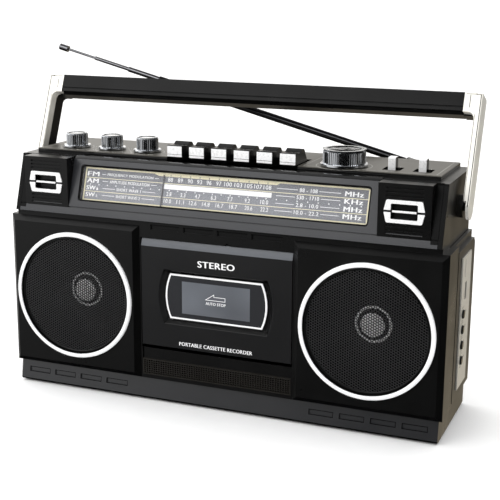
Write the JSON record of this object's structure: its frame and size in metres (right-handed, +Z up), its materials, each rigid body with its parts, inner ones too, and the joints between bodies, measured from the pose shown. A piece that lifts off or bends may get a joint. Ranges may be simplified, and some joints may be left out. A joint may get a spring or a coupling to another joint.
{
  "type": "portable radio cassette recorder",
  "caption": "Boxy black portable radio cassette recorder with round grilles, raked tuning dial, front tape door, top keys and knobs, swing handle and telescopic aerial.",
  "frame": {"origin": "on the standing surface under the middle of the cabinet, where the rubber feet rest", "axes": "+Z up, -Y out of the dial and loudspeaker front, +X to the right seen from the front"},
  "size_m": [0.3744, 0.111, 0.2745],
  "materials": {
    "cabinet_black": "semi-gloss moulded styrene, black",
    "rear_black": "fine-textured moulded styrene, black",
    "bezel_grey": "satin grey moulded styrene",
    "plate_brown": "satin grey-brown lacquered control plate",
    "chrome_trim": "vacuum-plated chrome on plastic",
    "silver_ring": "silver-painted plastic ring",
    "grille_black": "perforated steel, black",
    "speaker_steel": "pressed steel frame and ferrite magnet",
    "cone_paper": "black pressed paper cone",
    "dial_print": "silver-grey printed dial scale",
    "dial_black": "gloss black inner frame",
    "clear_window": "clear moulded window",
    "smoked_window": "smoked clear window",
    "pointer_white": "white pointer",
    "door_dark": "dark grey semi-gloss door",
    "mech_steel": "pressed steel chassis",
    "mech_plastic": "white acetal hub",
    "brass_wheel": "turned brass flywheel",
    "pcb_green": "green circuit board with components",
    "panel_silver": "silver anodised side plate",
    "grip_black": "black handle grip",
    "aerial_chrome": "chromed brass tube",
    "foot_rubber": "black rubber",
    "key_black": "black key with plated front",
    "iron_core": "laminated transformer core"
  },
  "bodies": {
    "cabinet": {"front_cabinet": "cabinet_black", "rear_cabinet": "rear_black", "feet": "foot_rubber", "dial_bezel": "bezel_grey", "cell_panels": "cabinet_black", "cell_rings": "chrome_trim", "dial_frame": "dial_black", "dial_scale": "dial_print", "dial_window": "clear_window", "control_plate": "plate_brown", "speaker_ring_left": "silver_ring", "speaker_ring_right": "silver_ring", "speaker_grille_left": "grille_black", "speaker_grille_right": "grille_black", "speaker_driver_left": "speaker_steel", "speaker_driver_right": "speaker_steel", "speaker_cone_left": "cone_paper", "speaker_cone_right": "cone_paper", "vent_grille": "grille_black", "tape_chassis": "mech_steel", "key_bank": "mech_steel", "control_board": "pcb_green", "aerial_bracket": "rear_black", "side_panel": "panel_silver", "side_board": "pcb_green", "mains_inlet": "rear_black", "transformer": "iron_core", "main_board": "pcb_green"},
    "cassette_door": {"door_panel": "door_dark", "door_window": "smoked_window", "cassette_holder": "door_dark"},
    "key_1": {"key_1": "key_black"},
    "key_2": {"key_2": "key_black"},
    "key_3": {"key_3": "key_black"},
    "key_4": {"key_4": "key_black"},
    "key_5": {"key_5": "key_black"},
    "key_6": {"key_6": "key_black"},
    "knob_1": {"knob_1": "chrome_trim"},
    "knob_2": {"knob_2": "chrome_trim"},
    "knob_3": {"knob_3": "chrome_trim"},
    "tuning_knob": {"tuning_knob": "chrome_trim"},
    "dial_pointer": {"dial_pointer": "pointer_white"},
    "switch_lever_1": {"switch_lever_1": "chrome_trim"},
    "switch_lever_2": {"switch_lever_2": "chrome_trim"},
    "handle": {"handle_grip": "grip_black", "handle_arm_left": "chrome_trim", "handle_arm_right": "chrome_trim"},
    "aerial_knuckle": {"aerial_knuckle": "aerial_chrome"},
    "aerial_base": {"aerial_base": "aerial_chrome"},
    "aerial_mid": {"aerial_mid": "aerial_chrome"},
    "aerial_upper": {"aerial_upper": "aerial_chrome"},
    "aerial_tip": {"aerial_tip": "aerial_chrome"},
    "side_button_1": {"side_button_1": "cabinet_black"},
    "side_button_2": {"side_button_2": "cabinet_black"},
    "side_button_3": {"side_button_3": "cabinet_black"},
    "side_button_4": {"side_button_4": "cabinet_black"},
    "battery_door": {"battery_door": "rear_black"},
    "reel_left": {"reel_left": "mech_plastic"},
    "reel_right": {"reel_right": "mech_plastic"},
    "flywheel": {"flywheel": "brass_wheel"}
  },
  "joints": [
    {"name": "cassette_door_hinge", "type": "hinge", "parent": "cabinet", "child": "cassette_door", "pos_m": [0, -0.0398, 0.0492], "axis": [1, 0, 0], "range_deg": [0, 35]},
    {"name": "key_1_press", "type": "hinge", "parent": "cabinet", "child": "key_1", "pos_m": [0, 0.006, 0.184], "axis": [1, 0, 0], "range_deg": [0, 10], "stiffness_Nm_per_rad": 0.12, "springref_deg": -6.88},
    {"name": "key_2_press", "type": "hinge", "parent": "cabinet", "child": "key_2", "pos_m": [0, 0.006, 0.184], "axis": [1, 0, 0], "range_deg": [0, 10], "stiffness_Nm_per_rad": 0.12, "springref_deg": -6.88},
    {"name": "key_3_press", "type": "hinge", "parent": "cabinet", "child": "key_3", "pos_m": [0, 0.006, 0.184], "axis": [1, 0, 0], "range_deg": [0, 10], "stiffness_Nm_per_rad": 0.12, "springref_deg": -6.88},
    {"name": "key_4_press", "type": "hinge", "parent": "cabinet", "child": "key_4", "pos_m": [0, 0.006, 0.184], "axis": [1, 0, 0], "range_deg": [0, 10], "stiffness_Nm_per_rad": 0.12, "springref_deg": -6.88},
    {"name": "key_5_press", "type": "hinge", "parent": "cabinet", "child": "key_5", "pos_m": [0, 0.006, 0.184], "axis": [1, 0, 0], "range_deg": [0, 10], "stiffness_Nm_per_rad": 0.12, "springref_deg": -6.88},
    {"name": "key_6_press", "type": "hinge", "parent": "cabinet", "child": "key_6", "pos_m": [0, 0.006, 0.184], "axis": [1, 0, 0], "range_deg": [0, 10], "stiffness_Nm_per_rad": 0.12, "springref_deg": -6.88},
    {"name": "knob_1_turn", "type": "hinge", "parent": "cabinet", "child": "knob_1", "pos_m": [-0.139, -0.007, 0.2], "axis": [0, 0, 1], "range_deg": [-150, 150]},
    {"name": "knob_2_turn", "type": "hinge", "parent": "cabinet", "child": "knob_2", "pos_m": [-0.1065, -0.007, 0.2], "axis": [0, 0, 1], "range_deg": [-150, 150]},
    {"name": "knob_3_turn", "type": "hinge", "parent": "cabinet", "child": "knob_3", "pos_m": [-0.0747, -0.007, 0.2], "axis": [0, 0, 1], "range_deg": [-150, 150]},
    {"name": "tuning_turn", "type": "hinge", "parent": "cabinet", "child": "tuning_knob", "pos_m": [0.0895, -0.007, 0.2], "axis": [0, 0, 1], "range_deg": [0, 895]},
    {"name": "dial_pointer_slide", "type": "slide", "parent": "cabinet", "child": "dial_pointer", "axis": [1, 0, 0], "range_m": [0, 0.0875]},
    {"name": "switch_1_slide", "type": "slide", "parent": "cabinet", "child": "switch_lever_1", "axis": [1, 0, 0], "range_m": [-0.0035, 0.0035]},
    {"name": "switch_2_slide", "type": "slide", "parent": "cabinet", "child": "switch_lever_2", "axis": [1, 0, 0], "range_m": [-0.0035, 0.0035]},
    {"name": "handle_fold", "type": "hinge", "parent": "cabinet", "child": "handle", "pos_m": [0, 0.005, 0.1695], "axis": [1, 0, 0], "range_deg": [0, 112]},
    {"name": "aerial_swivel", "type": "hinge", "parent": "cabinet", "child": "aerial_knuckle", "pos_m": [0.134, 0.056, 0.1878], "axis": [0, 1, 0], "range_deg": [-14.5, 150]},
    {"name": "aerial_tilt", "type": "hinge", "parent": "aerial_knuckle", "child": "aerial_base", "pos_m": [0.12432, 0.056, 0.19031], "axis": [0.2509, 0, 0.968], "range_deg": [-80, 0]},
    {"name": "aerial_slide_1", "type": "slide", "parent": "aerial_base", "child": "aerial_mid", "axis": [-0.968, 0, 0.2509], "range_m": [-0.029, 0.17]},
    {"name": "aerial_slide_2", "type": "slide", "parent": "aerial_mid", "child": "aerial_upper", "axis": [-0.968, 0, 0.2509], "range_m": [-0.033, 0.168]},
    {"name": "aerial_slide_3", "type": "slide", "parent": "aerial_upper", "child": "aerial_tip", "axis": [-0.968, 0, 0.2509], "range_m": [-0.027, 0.168]},
    {"name": "side_button_1_press", "type": "slide", "parent": "cabinet", "child": "side_button_1", "axis": [-1, 0, 0], "range_m": [0, 0.0012], "stiffness_N_per_m": 900, "springref_m": -0.0008},
    {"name": "side_button_2_press", "type": "slide", "parent": "cabinet", "child": "side_button_2", "axis": [-1, 0, 0], "range_m": [0, 0.0012], "stiffness_N_per_m": 900, "springref_m": -0.0008},
    {"name": "side_button_3_press", "type": "slide", "parent": "cabinet", "child": "side_button_3", "axis": [-1, 0, 0], "range_m": [0, 0.0012], "stiffness_N_per_m": 900, "springref_m": -0.0008},
    {"name": "side_button_4_press", "type": "slide", "parent": "cabinet", "child": "side_button_4", "axis": [-1, 0, 0], "range_m": [0, 0.0012], "stiffness_N_per_m": 900, "springref_m": -0.0008},
    {"name": "battery_door_hinge", "type": "hinge", "parent": "cabinet", "child": "battery_door", "pos_m": [0, 0.0465, 0.0215], "axis": [-1, 0, 0], "range_deg": [0, 92]},
    {"name": "reel_left_spin", "type": "hinge", "parent": "cabinet", "child": "reel_left", "pos_m": [-0.02125, -0.025, 0.086], "axis": [0, 1, 0], "continuous": true},
    {"name": "reel_right_spin", "type": "hinge", "parent": "cabinet", "child": "reel_right", "pos_m": [0.02125, -0.025, 0.086], "axis": [0, 1, 0], "continuous": true},
    {"name": "flywheel_spin", "type": "hinge", "parent": "cabinet", "child": "flywheel", "pos_m": [0.014, -0.012, 0.117], "axis": [0, 1, 0], "continuous": true}
  ],
  "couplings": [
    {"joint": "dial_pointer_slide", "follows": "tuning_turn", "m_per_rad": 0.0056}
  ]
}
